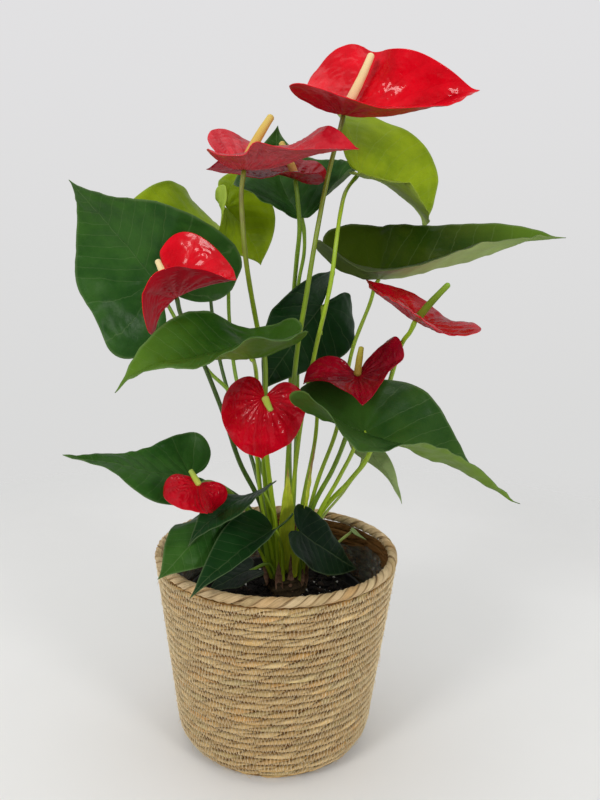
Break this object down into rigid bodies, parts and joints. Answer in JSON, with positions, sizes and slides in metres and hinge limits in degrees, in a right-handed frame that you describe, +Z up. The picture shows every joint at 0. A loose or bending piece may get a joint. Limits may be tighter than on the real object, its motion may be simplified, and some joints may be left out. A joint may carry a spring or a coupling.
{
  "type": "potted flowering plant",
  "caption": "Potted anthurium with heart-shaped leaves and glossy waxy flowers, standing in a round tapered basket with a twisted rim.",
  "frame": {"origin": "centre of the basket's flat base, on the floor", "axes": "+Z up; +Y points away from the side the plant is looked at from, +X to its right"},
  "size_m": [0.4048, 0.2759, 0.5661],
  "materials": {
    "seagrass": "matt, coiled and stitched dry seagrass",
    "seagrass_braid": "matt, twisted dry seagrass",
    "clear_film": "thin clear glossy film",
    "black_plastic": "satin moulded plastic",
    "potting_mix": "dark crumbs of peat and bark with white perlite",
    "crown_bark": "rough brown stem",
    "spathe_red": "waxy, glossy red",
    "spadix": "finely bumped cream to green",
    "peduncle_green": "smooth, semi-gloss",
    "petiole_green": "smooth, semi-gloss",
    "leaf_dark": "leathery, glossy dark green",
    "leaf_light": "leathery, glossy yellow-green",
    "sheath": "papery, pale green with dry tips",
    "sprout_green": "soft, pale green"
  },
  "bodies": {
    "root": {"basket": "seagrass", "crown": "crown_bark", "flower_centre_peduncle": "peduncle_green", "flower_centre_spadix": "spadix", "flower_centre_spathe": "spathe_red", "flower_left_peduncle": "peduncle_green", "flower_left_spadix": "spadix", "flower_left_spathe": "spathe_red", "flower_low_left_peduncle": "peduncle_green", "flower_low_left_spadix": "spadix", "flower_low_left_spathe": "spathe_red", "flower_mid_right_peduncle": "peduncle_green", "flower_mid_right_spadix": "spadix", "flower_mid_right_spathe": "spathe_red", "flower_right_peduncle": "peduncle_green", "flower_right_spadix": "spadix", "flower_right_spathe": "spathe_red", "flower_top_right_peduncle": "peduncle_green", "flower_top_right_spadix": "spadix", "flower_top_right_spathe": "spathe_red", "flower_upper_back_peduncle": "peduncle_green", "flower_upper_back_spadix": "spadix", "flower_upper_back_spathe": "spathe_red", "flower_upper_left_peduncle": "peduncle_green", "flower_upper_left_spadix": "spadix", "flower_upper_left_spathe": "spathe_red", "leaf_big_left_blade": "leaf_dark", "leaf_big_left_petiole": "petiole_green", "leaf_centre_left_blade": "leaf_dark", "leaf_centre_left_petiole": "petiole_green", "leaf_dark_back_blade": "leaf_dark", "leaf_dark_back_petiole": "petiole_green", "leaf_dark_centre_blade": "leaf_dark", "leaf_dark_centre_petiole": "petiole_green", "leaf_hanging": "leaf_light", "leaf_light_back_blade": "leaf_light", "leaf_light_back_petiole": "petiole_green", "leaf_long_right_blade": "leaf_dark", "leaf_long_right_petiole": "petiole_green", "leaf_low_left_blade": "leaf_dark", "leaf_low_left_petiole": "petiole_green", "leaf_lower_right_blade": "leaf_dark", "leaf_lower_right_petiole": "petiole_green", "leaf_pale_back_blade": "leaf_light", "leaf_pale_back_petiole": "petiole_green", "leaf_rim_front": "leaf_dark", "leaf_rim_left": "leaf_dark", "leaf_soil_left": "leaf_dark", "leaf_soil_right": "leaf_dark", "leaf_tucked": "leaf_dark", "leaf_upper_right_blade": "leaf_light", "leaf_upper_right_petiole": "petiole_green", "liner": "clear_film", "nursery_pot": "black_plastic", "potting_mix": "potting_mix", "rim_braid": "seagrass_braid", "sheath_front": "sheath", "sheath_right": "sheath", "sprout": "sprout_green"}
  },
  "joints": []
}
